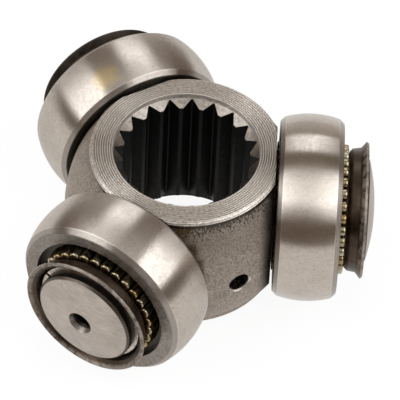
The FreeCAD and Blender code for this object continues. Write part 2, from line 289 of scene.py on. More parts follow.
def outer_rows():
    """(radius, height) of the outside, from the top mouth round to the bottom mouth."""
    collar = RIM_RADIUS + RIM_BEVEL
    face = [(radius, rim_height) for radius in evenly(MOUTH_RADIUS, RIM_RADIUS, FACE_STEPS)[:-1]]
    ball_top = circle_at(BALL_RADIUS, collar)
    edge = softened([face[-1], (RIM_RADIUS, rim_height), (collar, rim_height - RIM_BEVEL),
                     (collar, ball_top)], RIM_SOFTNESS, closed=False)[1:]
    ball = [(circle_at(BALL_RADIUS, height), height)
            for height in evenly(ball_top, FLASH_REACH, BALL_STEPS)[1:]]
    flash = [(BALL_RADIUS + FLASH_HEIGHT * math.sin(math.pi / 2 * share) ** 2,
              FLASH_REACH * (1 - share)) for share in evenly(0, 1, FLASH_STEPS)[1:-1]]
    upper = face + [tuple(point) for point in edge] + ball + flash
    return upper + [(radius, -height) for radius, height in reversed(upper)]


def bore_rows(tooth_radius):
    """(radius, height) of the bore in one column, from the bottom mouth up to the top one."""
    seat = rim_height - MOUTH_DEPTH
    tooth_end = seat - (SEAT_RADIUS - tooth_radius) * math.tan(MOUTH_SLOPE)
    lower = [(SEAT_RADIUS, -seat), (tooth_radius, -tooth_end), (tooth_radius, -tooth_end / 2)]
    return lower + [(tooth_radius, 0.0)] + [(radius, -height) for radius, height in reversed(lower)]


# %% Build the hub's closed grid
outside = outer_rows()
around = [[(radius * math.cos(angle), radius * math.sin(angle), height)
           for radius, height in outside + bore_rows(tooth_radius)]
          for angle, tooth_radius in columns]
hub = mesh_from_rows("hub", list(zip(*around)), wrap_rows=True)
print("hub grid:", len(hub.data.vertices), "points")

# %% [markdown]
# ### Flats and the radial hole
#
# Each trunnion stands on a flat milled across the ball. `bisect_plane` slices the grid
# there, and one truly flat face fills the open edge. The radial hole is the one place where
# a Boolean is the simplest way: a small turned cutter is subtracted.

# %% Slice the three flats
SLICE_GAP = 1e-3 * MM
shape = bmesh.new()
shape.from_mesh(hub.data)
for out in leg_out.values():
    everything = shape.verts[:] + shape.edges[:] + shape.faces[:]
    cut = bmesh.ops.bisect_plane(shape, geom=everything, dist=SLICE_GAP, plane_co=out * shoulder,
                                 plane_no=out, clear_outer=True)
    rim = [part for part in cut["geom_cut"] if isinstance(part, bmesh.types.BMEdge)]
    bmesh.ops.contextual_create(shape, geom=rim)
bmesh.ops.recalc_face_normals(shape, faces=shape.faces)
shape.to_mesh(hub.data)
shape.free()
print("hub after its flats:", len(hub.data.polygons), "faces")

# %% Cut the radial hole
hole_axis = Vector(pin_hole["axis"])
hole_radius = pin_hole["dims"]["r_mm"] * MM
hole_mouth = circle_at(BALL_RADIUS, hole_radius) - PIN_HOLE_BEVEL
past_flash = BALL_RADIUS + 4 * FLASH_HEIGHT
cutter = turned("hole_cutter", [
    (TOOTH_TIP - hole_radius, 0), (TOOTH_TIP - hole_radius, hole_radius),
    (hole_mouth, hole_radius), (past_flash, hole_radius + past_flash - hole_mouth),
    (past_flash, 0)], closed=False, columns=64)
cutter.rotation_euler.z = math.atan2(hole_axis.y, hole_axis.x)
subtract = hub.modifiers.new("Radial hole", "BOOLEAN")
subtract.object = cutter
subtract.solver = "EXACT"
bpy.context.view_layer.update()
bored = bpy.data.meshes.new_from_object(hub.evaluated_get(bpy.context.evaluated_depsgraph_get()))
hub.modifiers.clear()
hub.data = bored
bpy.data.objects.remove(cutter)
bored.set_sharp_from_angle(angle=SHARP)
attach(hub, "spider")
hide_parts("spider")
print("hub after its hole:", len(bored.polygons), "faces")

# %% [markdown]
# ## Trunnions
#
# The ground pins carry the needles. Each has a relief at its root, the needle track, a
# groove for the split ring, a short land and a slightly domed end with a centre drilling,
# left from grinding. The section starts inside the hub, where its open end is hidden.

# %% Sizes of a trunnion
RACE_RADIUS = 11.45 * MM
UNDERCUT_DEPTH = 0.3 * MM
UNDERCUT_WIDTH = 1.2 * MM
GROOVE_FLOOR = RACE_RADIUS - 0.75 * MM
GROOVE_CLEARANCE = 0.05 * MM
LAND_RADIUS = RACE_RADIUS - 0.1 * MM
TIP_BEVEL = 0.5 * MM
DRILL_MOUTH = 2.8 * MM
DRILL_RADIUS = 1.8 * MM
DRILL_DEPTH = 6.0 * MM
DRILL_CONE = math.radians(60)
DRILL_POINT = math.radians(118)
TRUNNION_SOFTNESS = 0.08 * MM
DOME_STEPS = 12
dome_radius = math.hypot(spider_high.x, DRILL_MOUTH)
print("trunnion ends domed at", round(dome_radius / MM, 2), "mm from the joint's centre")


# %% Build the trunnions
def trunnion_section():
    """(along, radius) from inside the hub to the bottom of the centre drilling."""
    edge = LAND_RADIUS - TIP_BEVEL
    dome_edge = circle_at(dome_radius, edge)
    relief = RACE_RADIUS - UNDERCUT_DEPTH
    relief_end = shoulder + UNDERCUT_WIDTH
    groove_start = ring_low.x - GROOVE_CLEARANCE
    groove_end = ring_high.x + GROOVE_CLEARANCE
    shank = [(shoulder - UNDERCUT_WIDTH, relief), (relief_end, relief),
             (relief_end + UNDERCUT_DEPTH, RACE_RADIUS), (groove_start, RACE_RADIUS),
             (groove_start, GROOVE_FLOOR), (groove_end, GROOVE_FLOOR), (groove_end, LAND_RADIUS),
             (dome_edge - TIP_BEVEL, LAND_RADIUS), (dome_edge, edge)]
    dome = [(circle_at(dome_radius, radius), radius)
            for radius in evenly(edge, DRILL_MOUTH, DOME_STEPS)[1:]]
    cone = (DRILL_MOUTH - DRILL_RADIUS) / math.tan(DRILL_CONE / 2)
    pilot_end = dome_radius - DRILL_DEPTH
    drilling = [(spider_high.x - cone, DRILL_RADIUS), (pilot_end, DRILL_RADIUS),
                (pilot_end - DRILL_RADIUS / math.tan(DRILL_POINT / 2), 0)]
    return softened(shank + dome + drilling, TRUNNION_SOFTNESS, closed=False)


trunnions = {leg: on_leg(turned(f"trunnion_{leg}", trunnion_section(), closed=False), leg, "spider")
             for leg in LEGS}
print(len(trunnions), "trunnions of", len(trunnions[1].data.polygons), "faces")

# %% [markdown]
# ## Rollers
#
# Each roller is part of a ball, so that it can tilt in the housing's round track. Ground
# bevels lead from the crown to the faces, the bore is the needles' outer track, and the
# outer face has a recess for the cup's lip. The crown is an arc given by its formula.

# %% Sizes of a roller
BEVEL_WIDTH = 1.1 * MM
BEVEL_HEIGHT = 1.0 * MM
TRACK_BEVEL = 0.45 * MM
RECESS_RADIUS = 15.65 * MM
RECESS_DEPTH = 1.8 * MM
NEEDLE_CLEARANCE = 0.05 * MM
ROLLER_SOFTNESS = 0.1 * MM
CROWN_STEPS = 20
track_radius = needle_high.y + NEEDLE_CLEARANCE
roller_radius = roller_high.z
print("roller and track radius in mm:", round(roller_radius / MM, 2), round(track_radius / MM, 2))


# %% Build the rollers
def roller_section():
    """(along, radius) around a roller's section."""
    start = roller_low.x
    end = roller_high.x
    middle = (start + end) / 2
    half = (end - start) / 2 - BEVEL_WIDTH
    crown_edge = circle_at(roller_radius, half)
    crown = [(middle + along, circle_at(roller_radius, along))
             for along in evenly(half, -half, CROWN_STEPS)[1:-1]]
    outer = [(start + TRACK_BEVEL, track_radius), (end - RECESS_DEPTH, track_radius),
             (end - RECESS_DEPTH, RECESS_RADIUS), (end, RECESS_RADIUS),
             (end, crown_edge - BEVEL_HEIGHT), (middle + half, crown_edge)]
    inner = [(middle - half, crown_edge), (start, crown_edge - BEVEL_HEIGHT),
             (start, track_radius + TRACK_BEVEL)]
    return softened(outer + crown + inner, ROLLER_SOFTNESS)


rollers = {leg: on_leg(turned(f"roller_{leg}_ground", roller_section(), columns=240),
                       leg, f"roller_{leg}", f"roller_{leg}") for leg in LEGS}
print(len(rollers), "rollers of", len(rollers[1].data.polygons), "faces")

# %% [markdown]
# ## Needles
#
# The needles are as thick as a match, with flat ends and well rounded edges. One is turned
# about the trunnion's axis, moved out to the pitch circle and copied around it. All 31 of a
# row move together, so they are one mesh.

# %% Build the needle rows
NEEDLE_COUNT = 31
NEEDLE_DIAMETER = 2.5 * MM
NEEDLE_EDGE = 0.45 * MM
needle_radius = NEEDLE_DIAMETER / 2
needle_pitch = needle_high.y - needle_radius


def needle_row(name):
    """All needles of one trunnion in one object, each with its rounded edges."""
    section = softened([(needle_low.x, 0), (needle_low.x, needle_radius),
                        (needle_high.x, needle_radius), (needle_high.x, 0)], NEEDLE_EDGE, closed=False)
    row = turned(name, section, closed=False, columns=24)
    shape = bmesh.new()
    shape.from_mesh(row.data)
    bmesh.ops.translate(shape, verts=shape.verts, vec=(0, needle_pitch, 0))
    single = shape.verts[:] + shape.edges[:] + shape.faces[:]
    for number in range(1, NEEDLE_COUNT):
        copy = bmesh.ops.duplicate(shape, geom=single)
        points = [part for part in copy["geom"] if isinstance(part, bmesh.types.BMVert)]
        turn = Matrix.Rotation(FULL_TURN * number / NEEDLE_COUNT, 3, "X")
        bmesh.ops.rotate(shape, verts=points, cent=(0, 0, 0), matrix=turn)
    shape.to_mesh(row.data)
    shape.free()
    return row


needles = {leg: on_leg(needle_row(f"needle_row_{leg}"), leg, f"needles_{leg}", f"needles_{leg}")
           for leg in LEGS}
print(NEEDLE_COUNT, "needles in each row,", len(needles[1].data.polygons), "faces a row")

# %% [markdown]
# ## Retainer cups
#
# A cup is pressed from thin sheet: a floor over the needles' ends, a leaning wall and a
# flared lip that stops the roller. Its section runs along one side of the sheet and back
# along the other, one thickness away.

# %% Build the cups
SHEET = 0.7 * MM
WALL_INSET = 0.85 * MM
WALL_HEIGHT = 2.55 * MM
CUP_BEND = 0.7 * MM
CUP_DRAFT = math.radians(9)
LIP_ANGLE = math.radians(51)
CUP_CLEARANCE = 0.25 * MM
CUP_SOFTNESS = 0.22 * MM


def cup_section():
    """(along, radius) around the sheet of a cup."""
    floor = cup_low.x
    hole = RACE_RADIUS + CUP_CLEARANCE
    wall = track_radius - WALL_INSET
    lip_start = floor + WALL_HEIGHT
    wall_top = wall + (WALL_HEIGHT - CUP_BEND) * math.tan(CUP_DRAFT)
    lip_edge = cup_high.z
    lip_end = lip_start + (lip_edge - wall_top) / math.tan(LIP_ANGLE)
    half_turn = (LIP_ANGLE - CUP_DRAFT) / 2
    middle = (LIP_ANGLE + CUP_DRAFT) / 2
    inner_start = lip_start + SHEET * math.sin(middle) / math.cos(half_turn)
    inner_top = wall_top - SHEET * math.cos(middle) / math.cos(half_turn)
    inner_foot = inner_top - (inner_start - floor - SHEET) * math.tan(CUP_DRAFT)
    return softened([
        (floor, hole), (floor, wall - CUP_BEND), (floor + CUP_BEND, wall),
        (lip_start, wall_top), (lip_end, lip_edge),
        (lip_end + SHEET * math.sin(LIP_ANGLE), lip_edge - SHEET * math.cos(LIP_ANGLE)),
        (inner_start, inner_top), (floor + SHEET, inner_foot), (floor + SHEET, hole)], CUP_SOFTNESS)


cups = {leg: on_leg(turned(f"pressed_cup_{leg}", cup_section(), columns=200),
                    leg, f"cup_{leg}", f"retainer_cup_{leg}") for leg in LEGS}
print(len(cups), "cups")

# %% [markdown]
# ## Split rings
#
# A flat spring ring sits in each trunnion's groove. It is turned through a little less than
# a full turn, and the two cut ends get a face each.

# %% Build the rings
RING_WIDTH = 1.45 * MM
RING_GAP = math.radians(4)
RING_OPENING = math.radians(155)
RING_SOFTNESS = 0.12 * MM


def ring(name):
    """One ring, open between its two cut ends."""
    inner = ring_high.z - RING_WIDTH
    section = softened([(ring_low.x, inner), (ring_high.x, inner), (ring_high.x, ring_high.z),
                        (ring_low.x, ring_high.z)], RING_SOFTNESS)
    return turned(name, section, columns=180, start=RING_OPENING + RING_GAP / 2,
                  sweep=FULL_TURN - RING_GAP)


rings = {leg: on_leg(ring(f"split_ring_{leg}"), leg, "spider", f"snap_ring_{leg}")
         for leg in LEGS}
print(len(rings), "rings")

# %% [markdown]
# ## Node tools
#
# A material is a small network of nodes. `node` adds one and fills its inputs. What a node
# puts out is kept as a `Value`, and Python's own signs do the sums: `a * b` adds a Math
# node that multiplies. `new_group` opens an effect that several steels share.

# %% Add and fill nodes
def node(tree, kind, inputs=None, **settings):
    """Add a node, set its settings, and fill its inputs."""
    made = tree.nodes.new(kind)
    for name, setting in settings.items():
        setattr(made, name, setting)
    for socket, content in (inputs or {}).items():
        fill(made.inputs[socket], content)
    return made


def fill(socket, content):
    """Link a Value to a socket, or set it to a number, a vector or a (red, green, blue)."""
    if isinstance(content, Value):
        content.tree.links.new(content.socket, socket)
    elif socket.type == "RGBA":
        socket.default_value = (*content, 1.0)
    else:
        socket.default_value = content


def result(tree, kind, inputs=None, output=0, **settings):
    """Add a node and return one Value that it puts out."""
    return Value(node(tree, kind, inputs, **settings).outputs[output])


def results(made):
    """All that a node puts out, by name."""
    return {socket.name: Value(socket) for socket in made.outputs if socket.name}


def tree_of(contents):
    """The tree that the first Value among the contents lives in."""
    return next(content.tree for content in contents if isinstance(content, Value))


# %% Sums, ramps and mixtures
def calculate(operation, *numbers, limit=False):
    """One Math node; at least one of the numbers is a Value."""
    return result(tree_of(numbers), "ShaderNodeMath", dict(enumerate(numbers)),
                  operation=operation, use_clamp=limit)


def combine(operation, *vectors, output="Vector"):
    """One Vector Math node, which puts out a vector, or a number for output="Value"."""
    return result(tree_of(vectors), "ShaderNodeVectorMath", dict(enumerate(vectors)), output,
                  operation=operation)


def mix(share, first, second):
    """A colour between first and second."""
    return result(tree_of((share, first, second)), "ShaderNodeMix",
                  {0: share, 6: first, 7: second}, output=2, data_type="RGBA")


def noise(point, scale, detail, roughness=0.5):
    """Clouds from 0 to 1, with more fine detail for a higher roughness."""
    return result(point.tree, "ShaderNodeTexNoise", {
        "Vector": point, "Scale": scale, "Detail": detail, "Roughness": roughness})


class Value:
    """A number, vector or colour that a node puts out; Python's signs add Math nodes."""

    def __init__(self, socket):
        self.socket = socket
        self.tree = socket.id_data

    def __add__(self, other):
        return calculate("ADD", self, other)

    def __sub__(self, other):
        return calculate("SUBTRACT", self, other)

    def __rsub__(self, other):
        return calculate("SUBTRACT", other, self)

    def __mul__(self, other):
        return calculate("MULTIPLY", self, other)

    def __truediv__(self, other):
        return calculate("DIVIDE", self, other)

    def __rtruediv__(self, other):
        return calculate("DIVIDE", other, self)

    def __abs__(self):
        return calculate("ABSOLUTE", self)

    def ramp(self, low, high, to_low=0.0, to_high=1.0):
        """The range low to high, eased to the range to_low to to_high."""
        return result(self.tree, "ShaderNodeMapRange", {
            "Value": self, "From Min": low, "From Max": high, "To Min": to_low,
            "To Max": to_high}, "Result", interpolation_type="SMOOTHSTEP")


def length_of(first, second):
    """The length of a line that goes first along one axis and second along the other."""
    return calculate("SQRT", first * first + second * second)


# %% Open and place groups
NUMBER = "NodeSocketFloat"
VECTOR = "NodeSocketVector"


def new_group(name, inputs, outputs):
    """A group's tree and its inputs; inputs maps each name to (socket kind, usual value)."""
    tree = bpy.data.node_groups.new(name, "ShaderNodeTree")
    for label, (kind, usual) in inputs.items():
        socket = tree.interface.new_socket(label, in_out="INPUT", socket_type=kind)
        if usual is not None:
            socket.default_value = usual
    for label, kind in outputs.items():
        tree.interface.new_socket(label, in_out="OUTPUT", socket_type=kind)
    print("group:", name)
    return tree, results(node(tree, "NodeGroupInput"))


def use(tree, group, **inputs):
    """Place a group in a tree; its results come by name."""
    return results(node(tree, "ShaderNodeGroup", inputs, node_tree=group))


# %% [markdown]
# ## Shared effects
#
# Steel looks real through small uneven things: the clouds of a blasted forging, pits, oil
# that dried in a corner, rings left by a turning tool, and bright bands along edges, some
# rubbed and some painted highlights. Each is a group, built once. Groups measure in
# millimetres, so a scale reads like a size on the part.

# %% Group: place about an axis
PLACE, given = new_group("Place about an axis", {
    "Axis": (VECTOR, (0.0, 0.0, 1.0)), "Side": (VECTOR, (1.0, 0.0, 0.0))}, {
    "Point": VECTOR, "Along": NUMBER, "Across": NUMBER, "Up": NUMBER, "Radius": NUMBER,
    "Angle": NUMBER})
point = combine("MULTIPLY", result(PLACE, "ShaderNodeTexCoord", output="Object"), (1 / MM,) * 3)
along = combine("DOT_PRODUCT", point, given["Axis"], output="Value")
across = combine("DOT_PRODUCT", point, given["Side"], output="Value")
upward = combine("CROSS_PRODUCT", given["Axis"], given["Side"])
up = combine("DOT_PRODUCT", point, upward, output="Value")
node(PLACE, "NodeGroupOutput", {
    "Point": point, "Along": along, "Across": across, "Up": up,
    "Radius": length_of(across, up), "Angle": calculate("ARCTAN2", up, across)})

# %% Group: cloudy grain
GRAIN, given = new_group("Steel grain", {
    "Point": (VECTOR, None), "Size": (NUMBER, 1.0), "Unevenness": (NUMBER, 1.0)},
    {"Tone": NUMBER, "Height": NUMBER})
cloud = noise(given["Point"], 1.0 / given["Size"], detail=5.0, roughness=0.65)
centred = (cloud - 0.5) * given["Unevenness"]
node(GRAIN, "NodeGroupOutput", {
    "Tone": calculate("ADD", centred, 0.5, limit=True), "Height": centred})

# %% Group: pits and specks
NO_SPECKS = 0.82
SPECK_EDGE = 0.06
SPECKS, given = new_group("Specks", {
    "Point": (VECTOR, None), "Size": (NUMBER, 0.5), "Cover": (NUMBER, 0.2)}, {"Mask": NUMBER})
dots = noise(given["Point"], 1.0 / given["Size"], detail=1.0)
threshold = NO_SPECKS - given["Cover"] * 0.5
node(SPECKS, "NodeGroupOutput", {"Mask": dots.ramp(threshold, threshold + SPECK_EDGE)})

# %% Group: rings left by a turning tool
TURNING, given = new_group("Turning rings", {
    "Distance": (NUMBER, 0.0), "Pitch": (NUMBER, 0.4), "Point": (VECTOR, None)},
    {"Height": NUMBER, "Groove": NUMBER})
drift = noise(given["Point"], 0.25, detail=0.0)
turns = given["Distance"] / given["Pitch"] + drift * 0.25
wave = calculate("COSINE", turns * FULL_TURN)
node(TURNING, "NodeGroupOutput", {"Height": wave, "Groove": wave.ramp(-0.2, -0.95)})

# %% Group: a band along an edge
BAND, given = new_group("Edge band", {
    "Distance": (NUMBER, 0.0), "Place": (NUMBER, 0.0), "Width": (NUMBER, 0.2)}, {"Mask": NUMBER})
share = abs(given["Distance"] - given["Place"]) / given["Width"]
node(BAND, "NodeGroupOutput", {"Mask": share.ramp(1.0, 0.3)})

# %% Group: a soft stain
STAIN, given = new_group("Stain", {
    "Point": (VECTOR, None), "Centre": (VECTOR, None), "Reach": (NUMBER, 5.0),
    "Ragged": (NUMBER, 0.5)}, {"Mask": NUMBER})
gap = combine("DISTANCE", given["Point"], given["Centre"], output="Value")
rags = noise(given["Point"], 0.45, detail=4.0)
share = gap / given["Reach"] + (rags - 0.5) * given["Ragged"]
node(STAIN, "NodeGroupOutput", {"Mask": share.ramp(1.0, 0.35)})

# %% [markdown]
# ## Finishes
#
# Every finish is bare or oiled steel, so each one is a metal with its own colour, its own
# roughness and its own bump. A `Steel` is such a finish in the making: it starts with a
# fine grain and a shade, each `tint` lays one more colour where a mask says, and `done`
# feeds the shader. `TONES` are the tones of the grain between which a roughness changes.
#
# Turned and ground steel has countless tiny grooves around its axis. They smear every
# reflection across the grooves, into bands that run along the axis. Blender calls this
# anisotropy. It needs to know which way the grooves run, so a tangent is made that goes
# around the axis.

# %% Axes, and colours used more than once
UP = Vector((0, 0, 1))
BORE_AXIS = (UP, Vector((1, 0, 0)))
leg_axis = {leg: (out, UP.cross(out)) for leg, out in leg_out.items()}
TONES = (0.2, 0.8)
WORN_STEEL = (0.66, 0.58, 0.50)
# Black used for oil and for painted shade.
OIL_AND_SHADE_BLACK = (0.012, 0.010, 0.008)


# %% A steel finish in the making
class Steel:
    """A metal with its shade so far, its fine grain and, in mm, the place of each point."""

    def __init__(self, name, axis, grain):
        self.material = bpy.data.materials.new(name)
        self.material.use_nodes = True
        self.tree = self.material.node_tree
        self.tree.nodes.clear()
        self.shader = node(self.tree, "ShaderNodeBsdfPrincipled", {"Metallic": 1.0})
        node(self.tree, "ShaderNodeOutputMaterial", {"Surface": Value(self.shader.outputs[0])})
        self.axis = tuple(axis[0])
        place = use(self.tree, PLACE, Axis=self.axis, Side=tuple(axis[1]))
        # The group puts these out in this order.
        self.point, self.along, self.across, self.up, self.radius, self.angle = place.values()
        fine = use(self.tree, GRAIN, Point=self.point, Size=grain[0], Unevenness=grain[1])
        self.tone = fine["Tone"]
        self.height = fine["Height"]

    def clouds(self, size, unevenness):
        """A cloudy tone, coarser than the fine grain's."""
        return use(self.tree, GRAIN, Point=self.point, Size=size, Unevenness=unevenness)["Tone"]

    def specks(self, size, cover, shift=None):
        """A mask of specks; a shift keeps one kind of speck apart from another."""
        point = combine("ADD", self.point, shift) if shift else self.point
        return use(self.tree, SPECKS, Point=point, Size=size, Cover=cover)["Mask"]

    def rings(self, pitch):
        """The height and the groove of turning rings."""
        return use(self.tree, TURNING, Distance=self.radius, Pitch=pitch, Point=self.point)

    def band(self, distance, middle, width):
        """A mask along the line where the distance equals middle."""
        return use(self.tree, BAND, Distance=distance, Place=middle, Width=width)["Mask"]

    def stain(self, centre, reach, ragged):
        """A mask around a centre."""
        return use(self.tree, STAIN, Point=self.point, Centre=centre, Reach=reach, Ragged=ragged)["Mask"]

    def tint(self, mask, strength, colour):
        """Lay a colour over the shade where a mask says."""
        self.shade = mix(mask * strength, self.shade, colour)

    def grooves(self, strength):
        """Tell the shader that its grooves run around the axis."""
        here = result(self.tree, "ShaderNodeTexCoord", output="Object")
        tangent = result(self.tree, "ShaderNodeVectorTransform", {
            0: combine("CROSS_PRODUCT", self.axis, here)}, vector_type="VECTOR",
            convert_from="OBJECT", convert_to="WORLD")
        fill(self.shader.inputs["Tangent"], tangent)
        self.shader.inputs["Anisotropic"].default_value = strength
        self.shader.inputs["Anisotropic Rotation"].default_value = 0.25

    def done(self, roughness, depth, height=None):
        """Feed the shade, a roughness and a bump; depth is in mm for a height of one."""
        bump = result(self.tree, "ShaderNodeBump", {
            "Height": height or self.height, "Distance": depth * MM, "Strength": 1.0})
        fill(self.shader.inputs["Base Color"], self.shade)
        fill(self.shader.inputs["Roughness"], roughness)
        fill(self.shader.inputs["Normal"], bump)
        print("finish:", self.material.name)
        return self.material


# %% [markdown]
# ### The forging
#
# The hub's side was forged, shot-blasted and oiled. It is cloudy grey-brown with dark pits,
# rubbed peaks and a rubbed seam. Under the rim's bevel a dark line with short streaks is
# painted shade, on the upper edge only. Its marks fade towards one side. Oil dried to a
# brown stain beside one roller, and beside another, oil and painted shade darken the edge.

# %% Finish: blasted forging
STREAK_LEVEL = 15.9
STREAK_LENGTH = 9.0
STREAK_STRETCH = (2.6, 2.6, 0.2)
BROWN_OIL = (0.10, 0.060, 0.018)
OIL_SPOTS = [((0.3, -21.0, 13.8), 2.9), ((2.1, -22.6, 10.9), 2.6), ((3.8, -24.1, 7.4), 2.2)]


def forging_finish():
    """Cloudy, pitted, oil-stained steel, with painted shade under the rim and beside a roller."""
    steel = Steel("Blasted forging", BORE_AXIS, grain=(0.42, 2.6))
    broad = steel.clouds(5.0, 1.8)
    pits = steel.specks(0.3, 0.40)
    peaks = steel.specks(0.3, 0.36, shift=(31.0, 7.0, 3.0))
    marked = steel.across.ramp(-14.0, -4.0, 0.25, 1.0)
    steel.shade = mix(broad * 0.4 + steel.tone * 0.6, (0.24, 0.197, 0.158), (0.60, 0.51, 0.43))
    steel.tint(pits * marked, 0.55, (0.05, 0.04, 0.03))
    steel.tint(peaks, 0.45, (0.74, 0.66, 0.58))
    upper = steel.along.ramp(5.0, 14.0)
    steel.tint(upper * marked, 0.3, (0.10, 0.078, 0.058))
    seam = steel.band(steel.along, -0.1, 1.1)
    steel.tint(seam * broad, 0.45, WORN_STEEL)
    streaks = noise(combine("MULTIPLY", steel.point, STREAK_STRETCH), 1.0, detail=3.0)
    steel.tint(streaks.ramp(0.52, 0.70), 0.35, (0.08, 0.066, 0.052))
    # Painted shade: a dark line under the rim's bevel, its lower edge ragged with streaks.
    lowest = STREAK_LEVEL - (streaks - 0.28) * STREAK_LENGTH
    line = steel.along.ramp(lowest, lowest + 1.2)
    steel.tint(line * marked, 0.8, (0.045, 0.036, 0.028))
    broken = steel.tone.ramp(0.30, 0.60, 0.25, 1.0)
    for centre, reach in OIL_SPOTS:
        steel.tint(steel.stain(centre, reach, 1.4) * broken, 0.9, BROWN_OIL)
    # Painted shade, with oil, darkens the edge beside the first roller.
    oil_and_shade_near_roller = (steel.across + (broad - 0.5) * 1.6).ramp(16.0, 19.3)
    steel.tint(oil_and_shade_near_roller, 0.9, (0.018, 0.015, 0.012))
    return steel.done(steel.tone.ramp(*TONES, 0.62, 0.48), 0.03, steel.height * 0.8 - pits)


# %% [markdown]
# ### Turned rim faces and bevels
#
# A tool fed outward leaves rings half a millimetre apart. Each groove's floor is darker.
# Left and right of the bore the face is lighter and its grooves darker: a painted sheen.
# A painted highlight runs along the bore's mouth. The bevel at the edge is bright
# because the tool rubbed it smooth.

# %% Finish: turned face and bevel
RING_PITCH = 0.5


def turned_finish():
    """Steel with turning rings, centred on the bore."""
    steel = Steel("Turned rim face", BORE_AXIS, grain=(0.6, 2.6))
    cloud = steel.clouds(7.0, 2.4)
    cut = steel.rings(RING_PITCH)
    steel.shade = mix(steel.tone, (0.40, 0.335, 0.28), (0.82, 0.72, 0.625))
    # Painted sheen: left and right of the bore the face is lighter and its grooves darker.
    side = abs(steel.across).ramp(5.0, 13.0)
    steel.tint(side, 0.8, (0.99, 0.89, 0.79))
    depth = cloud.ramp(0.25, 0.75, 0.6, 1.0) * side.ramp(0.0, 0.7, 0.45, 1.0)
    steel.tint(cut["Groove"] * depth, 0.8, (0.07, 0.058, 0.046))
    # A painted highlight along the bore's mouth.
    mouth = steel.band(steel.radius, MOUTH_RADIUS / MM, 0.45)
    steel.tint(mouth, 0.8, (0.85, 0.78, 0.70))
    steel.grooves(0.6)
    return steel.done(steel.tone.ramp(*TONES, 0.50, 0.36), 0.14, cut["Height"] + steel.height)


def bevel_finish():
    """Rubbed bright steel on the rim's bevel and on the radial hole's edge."""
    steel = Steel("Rubbed bevel", BORE_AXIS, grain=(0.6, 3.0))
    cut = steel.rings(0.4)
    steel.shade = mix(steel.tone, (0.46, 0.395, 0.335), (0.97, 0.90, 0.82))
    steel.tint(cut["Groove"], 0.5, (0.22, 0.19, 0.16))
    return steel.done(0.45, 0.02, steel.height + cut["Height"])


# %% [markdown]
# ### The splined bore and the flats
#
# The broached teeth are dark with oil and shadow. Their coned ends were cut last. They stay
# light at the back, where they scatter the light from above, and are darker towards the
# front. The milled flats and the wall of the radial hole are nearly black with oil and
# painted shade, and carry painted glints.

# %% Finish: teeth, their ends and the flats
def bore_finish():
    """Broached flanks, painted near black for oil and shade."""
    steel = Steel("Broached bore", BORE_AXIS, grain=(1.2, 2.0))
    steel.shade = mix(steel.tone, (0.006, 0.0055, 0.005), (0.022, 0.02, 0.018))
    return steel.done(0.5, 0.01)


def tooth_end_finish():
    """Freshly coned tooth ends."""
    steel = Steel("Coned tooth ends", BORE_AXIS, grain=(0.8, 2.4))
    cut = steel.rings(0.3)
    steel.shade = mix(steel.tone, (0.28, 0.24, 0.205), (0.64, 0.57, 0.50))
    steel.tint(cut["Groove"], 0.25, (0.12, 0.1, 0.085))
    # Darker towards the front.
    darker_towards_front = steel.up.ramp(9.0, -6.0)
    steel.tint(darker_towards_front, 0.9, (0.025, 0.021, 0.018))
    return steel.done(0.42, 0.008, cut["Height"])


def flat_finish():
    """Milled steel, painted near black for oil and shade, with painted glints."""
    steel = Steel("Milled flat", BORE_AXIS, grain=(0.9, 2.2))
    steel.shade = mix(steel.tone, (0.04, 0.034, 0.028), (0.16, 0.135, 0.11))
    # Painted glints on the lighter grain.
    peaks = steel.tone.ramp(0.52, 0.66)
    steel.tint(peaks, 0.7, (0.62, 0.55, 0.48))
    return steel.done(0.40, 0.03)


# %% [markdown]
# ### Give the hub's faces their finishes
#
# The hub is one mesh, so each face is told which finish it has. Its place and the way it
# faces are enough. Rim faces look straight up or down, and the short wall above the upper
# teeth was turned with them. Tooth ends slope, and all else inside the bore is dark.
# Everything outside that is no bevel, flat or hole is forging. A level face has a share of
# one on the upright axis, an upright face none, and the limits below lie between.

# %% Sort the hub's faces
hub_finishes = [forging_finish(), turned_finish(), bevel_finish(), bore_finish(),
                tooth_end_finish(), flat_finish()]
FORGING, RIM, BEVEL, BORE, TOOTH_END, FLAT = range(len(hub_finishes))
LEVEL = 0.99
SLOPING = 0.3
BEVELLED = 0.2
ACROSS_HOLE = 0.95
SAME_WAY = 0.999
mouth_bottom = rim_height - MOUTH_DEPTH * 1.1
bevel_bottom = rim_height - RIM_BEVEL * 1.15
hole_wall = hole_radius * 1.01
hole_edge = hole_radius + PIN_HOLE_BEVEL * 1.4


def hub_face_finish(face):
    """Which finish a face of the hub has."""
    centre = face.center
    radius = math.hypot(centre.x, centre.y)
    upright = abs(face.normal.z)
    if radius < MOUTH_RADIUS and upright < LEVEL:
        if upright > SLOPING:
            return TOOTH_END
        return RIM if centre.z > mouth_bottom else BORE
    from_hole = centre.cross(hole_axis).length
    if centre.dot(hole_axis) > 0 and from_hole < hole_edge:
        if from_hole < hole_wall:
            return FLAT
        return BEVEL if abs(face.normal.dot(hole_axis)) < ACROSS_HOLE else FORGING
    if upright > LEVEL:
        return RIM
    if abs(centre.z) > bevel_bottom and radius > RIM_RADIUS - RIM_BEVEL and upright > BEVELLED:
        return BEVEL
    for out in leg_out.values():
        if face.normal.dot(out) > SAME_WAY and abs(centre.dot(out) - shoulder) < 0.01 * MM:
            return FLAT
    return FORGING


hub.data.materials.clear()
for finish in hub_finishes:
    hub.data.materials.append(finish)
for face in hub.data.polygons:
    face.material_index = hub_face_finish(face)
print(Counter(hub_finishes[face.material_index].name for face in hub.data.polygons))

# %% [markdown]
# ### Ground rollers
#
# Rollers are ground and lapped, so their reflections are smeared most of all. Bevels and
# faces are darker than the crown, the recess is black with oil and painted shade, the inner
# face towards the hub is painted near black as shade, and specks break up the sheen. Light
# catches the corner beside the crown. One roller wears a film of golden oil.

